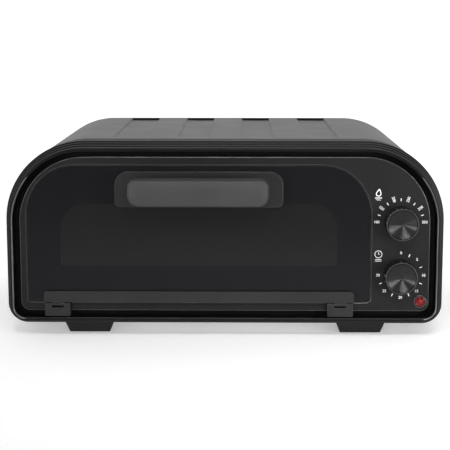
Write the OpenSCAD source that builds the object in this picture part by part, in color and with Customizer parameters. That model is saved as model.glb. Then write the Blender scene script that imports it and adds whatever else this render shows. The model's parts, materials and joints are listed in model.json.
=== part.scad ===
// Counter-top toaster oven: arched steel casing, ribbed front frame, drop-down glass door,
// two rotary controls and an oven compartment with rack, trays and four heating rods.
// Millimetres. +X right, +Y to the rear, +Z up; the origin is at the bottom centre, under the feet.
// Inside the modules Y = 0 is the frame's front lip and Z = 0 is the underside of the frame.

/* [Body] */
// Width of the front frame
body_w = 460; // [452:1:470]
// Height of the front frame, without the feet
body_h = 194; // [190:1:200]
// Depth from the frame's front lip to the casing's rear edge
body_d = 340; // [336:1:360]
// Height of the feet under the frame
foot_h = 13; // [11:0.5:18]
// Outer radius of the two upper corners
top_r = 84; // [78:1:88]
// Outer radius of the two lower corners
low_r = 21; // [20:1:26]

/* [Front frame] */
// How far the lip lies inside the frame's outermost edge
lip_inset = 9.3; // [8.6:0.1:10]
// Width of the groove between the lip and the control panel
groove_w = 6.5; // [5:0.1:7]
// How far the control panel's face is set back behind the lip
panel_set = 7.8; // [7:0.1:9]
// Depth of each step of the ribbed rim
rim_step_d = 6.1; // [5:0.1:6.4]
// Rise of each step of the ribbed rim
rim_rise = 1.85; // [1.2:0.05:2]

/* [Casing] */
// Thickness of the casing sheet
casing_t = 0.7; // [0.6:0.1:1]
// Thickness of the inner steel sheets
sheet_t = 0.6; // [0.5:0.1:1]
// Number of pressed channels along the top
channel_n = 4; // [2:1:4]
// Width of a channel
channel_w = 36; // [24:1:44]
// Distance between channel centres
channel_pitch = 70; // [60:1:74]
// Depth of a channel
channel_depth = 2.5; // [1.5:0.1:4]
// Where the channels begin behind the lip
channel_front = 67; // [50:1:90]
// Width of a channel's sloping side
channel_flare = 2; // [1:0.1:4]
// Distance from the channels' rear end to the casing's rear edge
channel_end = 5; // [4:1:40]

/* [Door] */
// Middle of the door, left of the oven's middle
door_x = -26.9; // [-28:0.1:-26]
// Width of the door glass
door_w = 359.8; // [356:0.1:361]
// Lower edge of the door glass
door_low = 27.4; // [27:0.1:28]
// Upper edge of the door glass
door_top = 169.7; // [168:0.1:171]
// Radius of the door's upper corners
door_r = 52; // [46:1:56]
// Thickness of the door glass
glass_t = 4; // [3.8:0.1:4.1]
// Clearance round the door in its pocket
door_gap = 0.6; // [0.5:0.1:1.6]
// Width of a hinge bracket
hinge_w = 26.6; // [24:0.1:28]
// Distance between the two hinge brackets' middles
hinge_span = 296.6; // [290:0.1:298]

/* [Handle] */
// Width of the handle's arched mounting plate
plate_w = 174.5; // [170:0.5:180]
// Width of the grip
grip_w = 143.4; // [138:0.1:148]
// Height of the grip
grip_h = 27.4; // [24:0.1:29]
// Depth of the grip bar
grip_t = 12; // [10:0.5:13]
// Reach of the grip in front of the lip
grip_reach = 29; // [27:0.5:30]

/* [Controls] */
// Position of both dials right of the oven's middle
dial_x = 183.5; // [182:0.1:185]
// Height of the temperature dial's centre
temp_z = 110.5; // [108:0.1:114]
// Height of the timer dial's centre
timer_z = 54.5; // [52:0.1:57]
// Radius of a knob
knob_r = 17.2; // [15:0.1:18]
// Radius of the metal cap on a knob
knob_cap_r = 15.1; // [12:0.1:15.4]
// How far a knob's face stands in front of the control panel
knob_reach = 20; // [17:0.5:22]
// Position of the indicator lamp right of the oven's middle
lamp_x = 205.5; // [203:0.1:206]
// Height of the indicator lamp's centre
lamp_z = 26.2; // [25:0.1:29]
// Outer radius of the indicator lamp's bezel
lamp_r = 6.9; // [6.5:0.1:7]

/* [Oven] */
// Width of the oven compartment
oven_w = 318; // [312:1:320]
// Floor of the oven compartment
oven_low = 36; // [35:0.5:37]
// Ceiling of the oven compartment
oven_top = 160; // [158:0.5:161]
// Rear wall of the oven compartment, behind the lip
oven_rear = 318; // [314:1:320]
// Radius of a heating rod
rod_r = 3.5; // [3:0.1:4]
// Height of the rack's rods
rack_z = 70.65; // [70.65:0.05:71]

/* [Hidden] */
$fn = 96;
eps = 0.01;

// front to back stations
rim_steps = 3;
web_y = 16;
web_t = 2;
frame_d = 24;
plate_y = web_y + web_t;
plate_back = plate_y + sheet_t;
spacer_h = 9;
rear_y = body_d + spacer_h;
channel_rear = body_d - channel_end;
lip_y = -(rear_y - grip_reach) / 2;
panel_inset = lip_inset + groove_w;
web_inset = panel_inset + 5;

// door stack
glass_front = panel_set - 1.5;
glass_back = glass_front + glass_t;
pocket_floor = 12.6;
pocket_low = door_low - 2.8;
door_x0 = door_x - door_w / 2;
door_x1 = door_x + door_w / 2;
pin_y = 3.6;
pin_z = 23.2;
pin_r = 1;
pin_inset = 1.3; // from a bracket's side to the pin's end
knuckle_r = 1.9;
knuckle_w = 12.2;
notch_w = 12.8;
notch_low = 19.9;
running = 0.05;
rail_w = 325.4;
rail_x0 = door_x - rail_w / 2;
rail_x1 = door_x + rail_w / 2;
rail_low = 25.5;
rail_top = 37.2;
rail_front = 2.4;

// handle
handle_x = door_x + 0.5;
plate_low = 126.8;
plate_top = 163.7;
plate_front = 0.3;
grip_low = 130.8;
grip_back = grip_t - grip_reach;
carrier_t = 2;
carrier_edge = 0.9;
post_span = 116;
post_z = 145;

// oven compartment
oven_x0 = door_x - oven_w / 2;
oven_x1 = door_x + oven_w / 2;
oven_r = 16;
rod_y = [95, 235];
upper_z = oven_top - oven_r;
lower_z = 52;
insulator_r = 6;
tray_slot = [36.4, 47];
rack_r = 2.25;
wire_r = 1.5;
shield_x = 150;
casing_inset = 1;
foot_x = 145;
foot_y = [48, 300];
foot_bore_r = 5;
foot_head_z = -foot_h + 7;
spacer_x = 150;
spacer_z = 145;
gland_at = [186, 30];
gland_r = 3.6;
gland_neck_r = 7;

// controls
lens_r = lamp_r - 1.4;
shaft_r = 3;
dial_hole_r = 4.5;
panel_skin = 2.6; // thickness of the panel's face in front of the hollow behind the dials
knob_front = panel_set - knob_reach;
knob_back = panel_set - 0.9;

// screws: X and Z of those in vertical faces, X and Y of those in the base
rear_screw_at = [[-222, 60], [-222, 100], [222, 60], [222, 100], [-60, 186], [60, 186],
    [-120, 8], [120, 8]];
panel_screw_at = [for (s = [-1, 1], z = [50, 105]) [s * (body_w / 2 - panel_inset - 2.9), z]];
base_screw_at = [for (x = [-198, 198], y = [70, 290]) [x, y]];
hinge_screw_z = 18.5;
hinge_screw_off = 9.6;
small_r = 1.3; // shank of the panel and hinge screws
sheet_r = 1.5; // shank of the base and rear screws
bolt_r = 2; // shank of the screws in the feet, the spacers and the handle
screw_gap = 0.2; // clearance round a shank
head_t = 1.6; // height of a small screw's head

// electrics: leads run in the lane between the heat shield and the controls
lead_r = 1.3;
elbow_r = 1.6;
lead_end = elbow_r + 0.1;
lane_x = 156;
lane_low = 14;
lane_high = temp_z;
rod_tail = 14;
terminal_xs = [183.5, 198.5];
therm_depth = 18;
timer_depth = 24;
tab_y = plate_back + 12.5;

// ---------------------------------------------------------------- shared shapes

// from the modules' frame to the oven's own frame
module set_out() translate([0, lip_y, foot_h]) children();

// a 2-D outline drawn in X and Z, filled from y0 back to y1
module slab(y0, y1) translate([0, y1, 0]) rotate([90, 0, 0]) linear_extrude(y1 - y0) children();

// rectangle with one radius for the upper corners and another for the lower ones
module arched(x0, x1, z0, z1, upper, lower) {
    for (x = [x0 + upper, x1 - upper]) translate([x, z1 - upper]) circle(upper);
    for (x = [x0 + lower, x1 - lower]) translate([x, z0 + lower]) circle(lower);
    translate([x0 + upper, z1 - 2 * upper]) square([x1 - x0 - 2 * upper, 2 * upper]);
    translate([x0 + lower, z0]) square([x1 - x0 - 2 * lower, 2 * lower]);
    translate([x0, z0 + lower]) square([x1 - x0, z1 - z0 - upper - lower]);
}

// the oven's front outline, moved inwards
module outline(inset) arched(-body_w / 2 + inset, body_w / 2 - inset, inset, body_h - inset,
    top_r - inset, max(low_r - inset, 9));

// the door's outline, moved outwards, with its own lower edge
module door_outline(grow, low) arched(door_x0 - grow, door_x1 + grow, low, door_top + grow,
    door_r + grow, 5);

module oven_outline(grow) arched(oven_x0 - grow, oven_x1 + grow, oven_low - grow, oven_top + grow,
    oven_r + grow, 5 + grow);

// round bar or hole along Y, from y0 to y1
module along_y(x, z, r, y0, y1) translate([x, y1, z]) rotate([90, 0, 0]) cylinder(r = r, h = y1 - y0);

module along_x(y, z, r, x0, x1) translate([x0, y, z]) rotate([0, 90, 0]) cylinder(r = r, h = x1 - x0);

module along_z(x, y, r, z0, z1) translate([x, y, z0]) cylinder(r = r, h = z1 - z0);

module box(x0, x1, y0, y1, z0, z1) translate([x0, y0, z0]) cube([x1 - x0, y1 - y0, z1 - z0]);

// ---------------------------------------------------------------- casing and front

module front_frame() color("#2b2b2d") set_out() difference() {
    union() {
        for (i = [0 : rim_steps - 1]) slab(i * rim_step_d, (i + 1) * rim_step_d)
            outline((rim_steps - i) * rim_rise);
        slab(rim_steps * rim_step_d, frame_d) outline(0);
    }
    slab(-1, web_y) outline(lip_inset);
    slab(-1, frame_d + 1) outline(web_inset);
    slab(plate_y, frame_d + 1) outline(4);
    along_y(lamp_x, lamp_z, lamp_r - 0.6, web_y - 1, plate_y + 1);
    panel_screw_holes(small_r);
    hinge_screw_holes(small_r + screw_gap);
}

module control_panel() color("#303032") set_out() difference() {
    union() {
        slab(panel_set, web_y) outline(panel_inset);
        slab(web_y - eps, plate_y) outline(web_inset + 0.5);
    }
    slab(panel_set - 1, pocket_floor) door_outline(door_gap, pocket_low);
    slab(panel_set - 1, plate_y + 1) oven_outline(0);
    // hollow behind the dials
    intersection() {
        slab(panel_set + panel_skin, plate_y + 1) outline(web_inset + 3);
        box(door_x1 + 7, body_w / 2, 0, plate_y + 1, pocket_low + 16, body_h);
    }
    for (z = [temp_z, timer_z]) along_y(dial_x, z, dial_hole_r, 0, plate_y + 1);
    along_y(lamp_x, lamp_z, lamp_r - 0.9, 0, plate_y + 1);
    panel_screw_holes(small_r);
    hinge_screw_holes(small_r + screw_gap);
}

module front_plate() color("#8d9093") set_out() difference() {
    slab(plate_y, plate_back) outline(5);
    slab(plate_y - 1, plate_back + 1) oven_outline(0);
    for (z = [temp_z, timer_z]) along_y(dial_x, z, dial_hole_r, plate_y - 1, plate_back + 1);
    along_y(lamp_x, lamp_z, lamp_r - 0.6, plate_y - 1, plate_back + 1);
    panel_screw_holes(small_r + screw_gap);
    hinge_screw_holes(small_r + 2 * screw_gap);
}

// one pressed channel: its flared section, front to back
module channel_section(x, grow) translate([x, 0]) polygon([
    [-channel_w / 2 - grow, body_h + 1], [-channel_w / 2 - grow, body_h - casing_inset],
    [-channel_w / 2 + channel_flare - grow, body_h - casing_inset - channel_depth - grow],
    [channel_w / 2 - channel_flare + grow, body_h - casing_inset - channel_depth - grow],
    [channel_w / 2 + grow, body_h - casing_inset], [channel_w / 2 + grow, body_h + 1]]);

module outer_casing() color("#3a3a3b") set_out() {
    inner = casing_inset + casing_t;
    xs = [for (i = [0 : channel_n - 1]) (i - (channel_n - 1) / 2) * channel_pitch];
    difference() {
        union() {
            difference() {
                slab(frame_d, body_d) outline(casing_inset);
                slab(frame_d - 1, body_d + 1) outline(inner);
            }
            // pans under the channels
            intersection() {
                slab(channel_front - casing_t, channel_rear + casing_t)
                    for (x = xs) channel_section(x, casing_t);
                box(-body_w / 2, body_w / 2, 0, body_d, body_h / 2, body_h - inner + eps);
            }
            // turned-in flange that takes the rear panel's screws
            difference() {
                slab(body_d - 2 * sheet_t, body_d - sheet_t) outline(inner - eps);
                slab(body_d - 3 * sheet_t, body_d) outline(13);
            }
        }
        slab(channel_front, channel_rear) for (x = xs) channel_section(x, 0);
        // air slot in the rear end of each channel
        for (x = xs) box(x - channel_w / 2 + channel_flare + 0.5, x + channel_w / 2 - channel_flare - 0.5,
            channel_rear - 1, channel_rear + casing_t + 1, body_h - casing_inset - channel_depth + 0.4,
            body_h - casing_inset - 0.5);
        // the underside is open between two flanges
        box(-190, 190, frame_d - 1, body_d - 12, -1, inner + 1);
        base_screw_holes(sheet_r);
        rear_screw_holes(sheet_r);
    }
}

module base_plate() color("#7d8083") set_out() difference() {
    box(-206, 206, frame_d + 1, body_d - 2 * sheet_t - 1, casing_inset + casing_t,
        casing_inset + casing_t + sheet_t);
    for (x = [-120 : 20 : 100], y = [100, 170, 240]) box(x, x + 6, y, y + 40, 0, 10);
    for (x = [-foot_x, foot_x], y = foot_y) along_z(x, y, bolt_r + screw_gap, 0, 10);
    base_screw_holes(sheet_r);
}

module rear_panel() color("#3a3a3b") set_out() difference() {
    slab(body_d - sheet_t, body_d) outline(casing_inset + casing_t + 0.3);
    // mouth for the crumb tray
    box(oven_x0 + 3, oven_x1 - 3, body_d - 5, body_d + 1, tray_slot[0], tray_slot[1]);
    // louvre slots
    for (x = [-150 : 25 : 75], z = [70, 85, 100, 115])
        box(x, x + 18, body_d - 5, body_d + 1, z, z + 4);
    for (x = [168, 181, 194], z = [80, 100, 120]) box(x, x + 4, body_d - 5, body_d + 1, z, z + 14);
    along_y(gland_at[0], gland_at[1], gland_neck_r + 0.1, body_d - 5, body_d + 1);
    for (x = [-spacer_x, spacer_x]) along_y(x, spacer_z, bolt_r, body_d - 5, body_d + 1);
    rear_screw_holes(sheet_r);
}

// ---------------------------------------------------------------- feet, spacers, fasteners

// foot that tapers down on all four sides, with a counterbore for its screw
module foot(x, y) color("#29292b") set_out() translate([x, y, 0]) difference() {
    intersection() {
        rotate([90, 0, 0]) translate([0, 0, -30]) linear_extrude(60) foot_side(26.5, 21.5);
        rotate([90, 0, 90]) translate([0, 0, -30]) linear_extrude(60) foot_side(22, 18);
    }
    along_z(0, 0, foot_bore_r, -foot_h - 1, foot_head_z);
    along_z(0, 0, bolt_r + screw_gap, -foot_h, 5);
}

module foot_side(top_half, low_half) polygon([[-top_half, casing_inset + casing_t], [-top_half, 0],
    [-low_half, -foot_h], [low_half, -foot_h], [top_half, 0], [top_half, casing_inset + casing_t]]);

module foot_front_left() foot(-foot_x, foot_y[0]);
module foot_front_right() foot(foot_x, foot_y[0]);
module foot_rear_left() foot(-foot_x, foot_y[1]);
module foot_rear_right() foot(foot_x, foot_y[1]);

module foot_screws() color("silver") set_out() for (x = [-foot_x, foot_x], y = foot_y) {
    along_z(x, y, foot_bore_r - 1, foot_head_z - 2.4, foot_head_z);
    along_z(x, y, bolt_r, foot_head_z - eps, 8);
}

module base_screw_holes(r) for (p = base_screw_at) along_z(p[0], p[1], r, -2, 8);

module base_screws() color("silver") set_out() for (p = base_screw_at) {
    along_z(p[0], p[1], sheet_r, casing_inset - eps, 7);
    along_z(p[0], p[1], 3, -0.6, casing_inset);
}

module rear_screw_holes(r) for (p = rear_screw_at) along_y(p[0], p[1], r, body_d - 6, body_d + 1);

module rear_screws() color("silver") set_out() for (p = rear_screw_at) {
    along_y(p[0], p[1], sheet_r, body_d - 8, body_d + eps);
    along_y(p[0], p[1], 3, body_d, body_d + 1.8);
}

module panel_screw_holes(r) for (p = panel_screw_at) along_y(p[0], p[1], r, 10, 22);

module panel_screws() color("silver") set_out() for (p = panel_screw_at) {
    along_y(p[0], p[1], small_r, 10.2, plate_back + eps);
    along_y(p[0], p[1], 2 * small_r, plate_back, plate_back + head_t);
}

module rear_spacer(x) color("#29292b") set_out() {
    translate([x, body_d + spacer_h, spacer_z]) rotate([90, 0, 0]) cylinder(r1 = 8, r2 = 11, h = spacer_h);
    along_y(x, spacer_z, bolt_r, body_d - 6, body_d + eps);
}

module rear_spacer_left() rear_spacer(-spacer_x);
module rear_spacer_right() rear_spacer(spacer_x);

module cord_gland() color("#222224") set_out() difference() {
    union() {
        along_y(gland_at[0], gland_at[1], gland_neck_r, body_d - 10, body_d + eps);
        along_y(gland_at[0], gland_at[1], 9.5, body_d, body_d + 3);
        along_y(gland_at[0], gland_at[1], 6.5, body_d + 3 - eps, body_d + 8);
    }
    along_y(gland_at[0], gland_at[1], gland_r, body_d - 11, body_d + 9);
}

module terminal_block() color("#d8d4c8") set_out() difference() {
    box(176, 206, 268, 282, casing_inset + casing_t + sheet_t, 21);
    for (x = terminal_xs) along_y(x, lane_low, 2.5, 267, 283);
    for (x = terminal_xs) along_z(x, 275, 2, lane_low, 22);
}

// insulated lead through the given points, square to the axes, with a round crimp at each
module lead(points) for (i = [0 : len(points) - 1]) {
    translate(points[i]) sphere(elbow_r, $fn = 24);
    if (i > 0) leg(points[i - 1], points[i]);
}

module leg(a, b) {
    lo = [for (k = [0 : 2]) min(a[k], b[k])];
    hi = [for (k = [0 : 2]) max(a[k], b[k])];
    if (hi[0] > lo[0]) along_x(a[1], a[2], lead_r, lo[0], hi[0]);
    if (hi[1] > lo[1]) along_y(a[0], a[2], lead_r, lo[1], hi[1]);
    if (hi[2] > lo[2]) along_z(a[0], a[1], lead_r, lo[2], hi[2]);
}

// live: terminal block, timer, thermostat, upper rods; neutral: terminal block, lower rods;
// the left ends of each upper and lower rod are bridged, and the lamp spans live and neutral
module wiring() color("#b9392f") set_out() {
    entry_y = 272;
    turn_y = 62;
    lamp_y = 72;
    rod_end = oven_x1 + rod_tail + lead_end;
    bridge_x = oven_x0 - rod_tail - lead_end;
    timer_corner = timer_z - 16.5;
    pin_end = plate_y + 20 + lead_end;
    live = terminal_xs[1];
    neutral = terminal_xs[0];
    lead([[live, entry_y, lane_low], [live, turn_y, lane_low], [live, turn_y, timer_corner],
        [live, plate_back + timer_depth + lead_end, timer_corner]]);
    lead([[192, tab_y, timer_z + 20 + lead_end], [192, tab_y, temp_z - 12 - lead_end]]);
    lead([[dial_x - 22 - lead_end, tab_y, lane_high], [lane_x, tab_y, lane_high],
        [lane_x, rod_y[1], lane_high]]);
    lead([[neutral, entry_y, lane_low], [neutral, 250, lane_low], [lane_x, 250, lane_low],
        [lane_x, rod_y[0], lane_low]]);
    for (y = rod_y) {
        lead([[lane_x, y, lane_high], [lane_x, y, upper_z], [rod_end, y, upper_z]]);
        lead([[lane_x, y, lane_low], [lane_x, y, lower_z], [rod_end, y, lower_z]]);
        lead([[bridge_x, y, lower_z], [bridge_x, y, upper_z]]);
    }
    lead([[lamp_x - 2, pin_end, lamp_z], [lamp_x - 2, turn_y, lamp_z], [live, turn_y, lamp_z]]);
    lead([[lamp_x + 2, pin_end, lamp_z], [lamp_x + 2, lamp_y, lamp_z], [lane_x, lamp_y, lamp_z],
        [lane_x, lamp_y, lane_low], [lane_x, rod_y[0], lane_low]]);
}

// ---------------------------------------------------------------- door and handle

module door_glass() color("#1c1c20") set_out() difference() {
    slab(glass_front, glass_back) door_outline(0, door_low);
    for (x = handle_posts()) along_y(x, post_z, bolt_r + 0.5, glass_front - 1, glass_back + 1);
}

function handle_posts() = [handle_x - post_span / 2, handle_x + post_span / 2];
function hinge_xs() = [door_x - hinge_span / 2, door_x + hinge_span / 2];

// channel that clamps the glass's lower edge, with a rolled knuckle over each hinge
module door_rail() color("#4a4a4c") set_out() difference() {
    union() {
        slab(rail_front, glass_front) arched(rail_x0, rail_x1, rail_low, rail_top, 4, 1.2);
        slab(glass_front - eps, glass_back + eps)
            translate([rail_x0 + 1, rail_low]) square([rail_x1 - rail_x0 - 2, door_low - rail_low]);
        slab(glass_back, glass_back + 1.4)
            translate([rail_x0 + 1, rail_low]) square([rail_x1 - rail_x0 - 2, 9]);
        for (x = hinge_xs()) {
            along_x(pin_y, pin_z, knuckle_r, x - knuckle_w / 2, x + knuckle_w / 2);
            box(x - knuckle_w / 2, x + knuckle_w / 2, pin_y - 1.2, pin_y + 1.2, pin_z, rail_low + 1);
        }
    }
    for (x = hinge_xs()) along_x(pin_y, pin_z, pin_r + running, x - knuckle_w, x + knuckle_w);
}

module door_bumpers() color("#5a5a5a") set_out() for (x = [door_x0 + 10.4, door_x1 - 10.4])
    along_y(x, 100, 4, glass_back, pocket_floor - 0.4);

// the grip's outline, moved outwards
module grip_outline(grow) arched(handle_x - grip_w / 2 - grow, handle_x + grip_w / 2 + grow,
    grip_low - grow, grip_low + grip_h + grow, 7.5 + grow, 11 + grow);

// arched plate on the glass, two posts, and the flange that backs the grip
module handle_plate() color("#363638") set_out() difference() {
    union() {
        slab(plate_front, glass_front)
            arched(handle_x - plate_w / 2, handle_x + plate_w / 2, plate_low, plate_top, 14, 5);
        for (x = handle_posts()) box(x - 6, x + 6, grip_back - eps, plate_front + eps,
            post_z - 7, post_z + 7);
        slab(grip_back - carrier_t, grip_back) grip_outline(carrier_edge);
    }
    for (x = handle_posts()) along_y(x, post_z, bolt_r, -8, glass_front + 1);
}

module handle_grip() color("#6f6f70") set_out() slab(-grip_reach, grip_back - carrier_t)
    grip_outline(0);

module handle_screws() color("silver") set_out() for (x = handle_posts()) {
    along_y(x, post_z, bolt_r, -7, glass_back + eps);
    along_y(x, post_z, 2 * bolt_r, glass_back, glass_back + 2.2);
}

// bracket under the rail: two cheeks carry the pin and the knuckle turns in the notch between them
module hinge_bracket(x) color("#4a4a4c") set_out() difference() {
    union() {
        along_x(pin_y, pin_z, knuckle_r, x - hinge_w / 2, x + hinge_w / 2);
        box(x - hinge_w / 2, x + hinge_w / 2, pin_y - knuckle_r, panel_set, 10.8, pin_z);
        box(x - hinge_w / 2, x + hinge_w / 2, pin_y, panel_set, pin_z - 2, pin_z + 1.3);
    }
    box(x - notch_w / 2, x + notch_w / 2, 0, panel_set + 1, notch_low, 30);
    along_x(pin_y, pin_z, pin_r, x - hinge_w / 2 + pin_inset, x + hinge_w / 2 - pin_inset);
    hinge_screw_holes(small_r);
}

module hinge_bracket_left() hinge_bracket(hinge_xs()[0]);
module hinge_bracket_right() hinge_bracket(hinge_xs()[1]);

module hinge_pin(x) color("silver") set_out()
    along_x(pin_y, pin_z, pin_r, x - hinge_w / 2 + pin_inset, x + hinge_w / 2 - pin_inset);

module hinge_pin_left() hinge_pin(hinge_xs()[0]);
module hinge_pin_right() hinge_pin(hinge_xs()[1]);

module hinge_screw_holes(r) for (x = hinge_xs(), s = [-1, 1])
    along_y(x + s * hinge_screw_off, hinge_screw_z, r, 4, 22);

module hinge_screws() color("silver") set_out() for (x = hinge_xs(), s = [-1, 1]) {
    along_y(x + s * hinge_screw_off, hinge_screw_z, small_r, 4, plate_back + eps);
    along_y(x + s * hinge_screw_off, hinge_screw_z, 2.7, plate_back, plate_back + head_t);
}

// ---------------------------------------------------------------- controls

// knob with a slight taper, a rim round its metal cap and a blind shaft hole
module knob(z) color("#2e2e30") set_out() difference() {
    translate([dial_x, knob_back, z]) rotate([90, 0, 0])
        cylinder(r1 = knob_r, r2 = knob_r - 0.7, h = knob_back - knob_front);
    along_y(dial_x, z, knob_cap_r + 0.1, knob_front - 1, knob_front + 1.2);
    along_y(dial_x, z, shaft_r + 0.02, knob_front + 4, knob_back + 1);
}

module knob_cap(z) color("#b5b6b8") set_out() along_y(dial_x, z, knob_cap_r, knob_front + 0.2,
    knob_front + 1.2);

module shaft(z) color("silver") set_out() along_y(dial_x, z, shaft_r, knob_front + 4, plate_back + 10);

module temperature_knob() knob(temp_z);
module temperature_knob_cap() knob_cap(temp_z);
module temperature_shaft() shaft(temp_z);
module timer_knob() knob(timer_z);
module timer_knob_cap() knob_cap(timer_z);
module timer_shaft() shaft(timer_z);

module thermostat() color("#d8d4c8") set_out() difference() {
    union() {
        box(dial_x - 14, dial_x + 14, plate_back, plate_back + therm_depth, temp_z - 12, temp_z + 12);
        along_y(dial_x, temp_z, 9, plate_back + therm_depth - eps, plate_back + 26);
        for (s = [-1, 1]) box(dial_x + s * 18 - 4, dial_x + s * 18 + 4, tab_y - 0.5,
            tab_y + 0.5, temp_z - 3, temp_z + 3);
    }
    along_y(dial_x, temp_z, shaft_r + running, plate_back - 1, plate_back + 12);
}

module timer_case() color("#a7a9ab") set_out() difference() {
    box(dial_x - 20, dial_x + 20, plate_back, plate_back + timer_depth, timer_z - 20, timer_z + 20);
    along_y(dial_x, timer_z, shaft_r + running, plate_back - 1, plate_back + 12);
}

// shallow gong behind the clockwork
module timer_bell() color("silver") set_out() difference() {
    along_y(dial_x, timer_z, 17, plate_back + 27, plate_back + 36);
    along_y(dial_x, timer_z, 16, plate_back + 26, plate_back + 35);
    along_y(dial_x, timer_z, 1.5, plate_back + 30, plate_back + 37);
}

// thin flanged tube that clips into the panel round the lens
module lamp_bezel() color("#9a9a9c") set_out() difference() {
    union() {
        along_y(lamp_x, lamp_z, lamp_r, panel_set - 1.4, panel_set);
        along_y(lamp_x, lamp_z, lamp_r - 0.9, panel_set - eps, plate_y);
    }
    along_y(lamp_x, lamp_z, lens_r + 0.05, panel_set - 2, plate_y + 1);
}

module lamp_lens() color("#d0142c") set_out() translate([lamp_x, panel_set, lamp_z])
    intersection() {
        translate([0, 3.2, 0]) sphere(7.2);
        rotate([90, 0, 0]) cylinder(r = lens_r, h = 8);
    }

module lamp_body() color("#e8e2d4") set_out() {
    along_y(lamp_x, lamp_z, 4.5, panel_set, plate_y + 14);
    for (s = [-2, 2]) along_y(lamp_x + s, lamp_z, 0.6, plate_y + 14 - eps, plate_y + 20);
}

// ---------------------------------------------------------------- oven compartment

module oven_compartment() color("#a3a5a7") set_out() difference() {
    union() {
        slab(plate_back, oven_rear) oven_outline(sheet_t);
        slab(plate_back, plate_back + sheet_t) oven_outline(9);
    }
    slab(plate_back - 1, oven_rear - sheet_t) oven_outline(0);
    // rear mouth for the crumb tray
    box(oven_x0 + 3, oven_x1 - 3, oven_rear - 5, oven_rear + 1, tray_slot[0], tray_slot[1]);
    for (y = rod_y, z = [upper_z, lower_z]) along_x(y, z, insulator_r + 0.1, oven_x0 - 9, oven_x1 + 9);
}

module heat_shield() color("#a3a5a7") set_out() difference() {
    box(shield_x, shield_x + sheet_t, plate_back, body_d - 8, 4, body_h - 8);
    for (y = rod_y, z = [upper_z, lower_z]) along_x(y, z, 5, shield_x - 1, shield_x + 3);
}

// side rail with an upper and a lower ledge that the rack slides between
module rack_guide(x_wall, side) color("#8f9193") set_out() {
    x_back = x_wall + side * 1.2;
    x_edge = x_wall + side * 8;
    low = rack_z - rack_r - 0.4;
    box(min(x_wall, x_back), max(x_wall, x_back), 24, oven_rear - 12, low - 1.2, low + 7);
    for (z = [low - 1.2, low + 5.8]) box(min(x_back, x_edge) - eps, max(x_back, x_edge) + eps,
        24, oven_rear - 12, z, z + 1.2);
}

module rack_guide_left() rack_guide(oven_x0, 1);
module rack_guide_right() rack_guide(oven_x1, -1);

module wire_rack() color("#c4c6c8") set_out() {
    x0 = oven_x0 + 4.5;
    x1 = oven_x1 - 4.5;
    y0 = 30;
    y1 = oven_rear - 16;
    for (x = [x0, x1]) along_y(x, rack_z, rack_r, y0, y1);
    for (y = [y0, (y0 + y1) / 2, y1]) along_x(y, rack_z, rack_r, x0, x1);
    for (x = [x0, x1], y = [y0, y1]) translate([x, y, rack_z]) sphere(rack_r);
    for (i = [1 : 14]) along_y(x0 + i * (x1 - x0) / 15, rack_z, wire_r, y0, y1);
}

module baking_tray() color("#55585b") set_out() {
    low = rack_z + rack_r;
    difference() {
        union() {
            tray_block(130, 118, 18, low, low + 15);
            tray_block(134.5, 122.5, 22.5, low + 14, low + 15);
        }
        tray_block(129, 117, 17, low + 1, low + 16);
    }
}

// upright block with round vertical corners, centred in the oven compartment
module tray_block(half_x, half_y, r, z0, z1) translate([door_x, 165, z0]) linear_extrude(z1 - z0) {
    for (sx = [-1, 1], sy = [-1, 1]) translate([sx * (half_x - r), sy * (half_y - r)]) circle(r);
    square([2 * (half_x - r), 2 * half_y], center = true);
    square([2 * half_x, 2 * (half_y - r)], center = true);
}

module crumb_tray() color("#a9abad") set_out() {
    x0 = oven_x0 + 5;
    x1 = oven_x1 - 5;
    low = oven_low + 0.8;
    difference() {
        box(x0, x1, 21, body_d + 2, low, low + 8.5);
        box(x0 + sheet_t, x1 - sheet_t, 21 + sheet_t, body_d + 2 - sheet_t, low + sheet_t, low + 10);
    }
    // pull at the rear
    box(door_x - 40, door_x + 40, body_d + 2 - eps, body_d + 7, low, low + 1.2);
    box(door_x - 40, door_x + 40, body_d + 5.8, body_d + 7, low, low + 8);
}

module heating_rod(y, z) color("#8c8478") set_out() {
    along_x(y, z, rod_r, oven_x0 - 8, oven_x1 + 8);
    along_x(y, z, 1.5, oven_x0 - rod_tail, oven_x1 + rod_tail);
}

module upper_rod_front() heating_rod(rod_y[0], upper_z);
module upper_rod_rear() heating_rod(rod_y[1], upper_z);
module lower_rod_front() heating_rod(rod_y[0], lower_z);
module lower_rod_rear() heating_rod(rod_y[1], lower_z);

// ceramic bush round each end of each rod
module rod_insulators() color("#e6e1d6") set_out() for (y = rod_y, z = [upper_z, lower_z]) {
    insulator(oven_x0, -1, y, z);
    insulator(oven_x1, 1, y, z);
}

module insulator(x_wall, side, y, z) {
    inner = x_wall - side * 3;
    collar = x_wall + side * sheet_t;
    outer = x_wall + side * 6;
    difference() {
        union() {
            along_x(y, z, insulator_r, min(inner, outer), max(inner, outer));
            along_x(y, z, 8.5, min(collar, outer), max(collar, outer));
        }
        along_x(y, z, rod_r + 0.05, min(inner, outer) - 1, max(inner, outer) + 1);
    }
}

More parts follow.
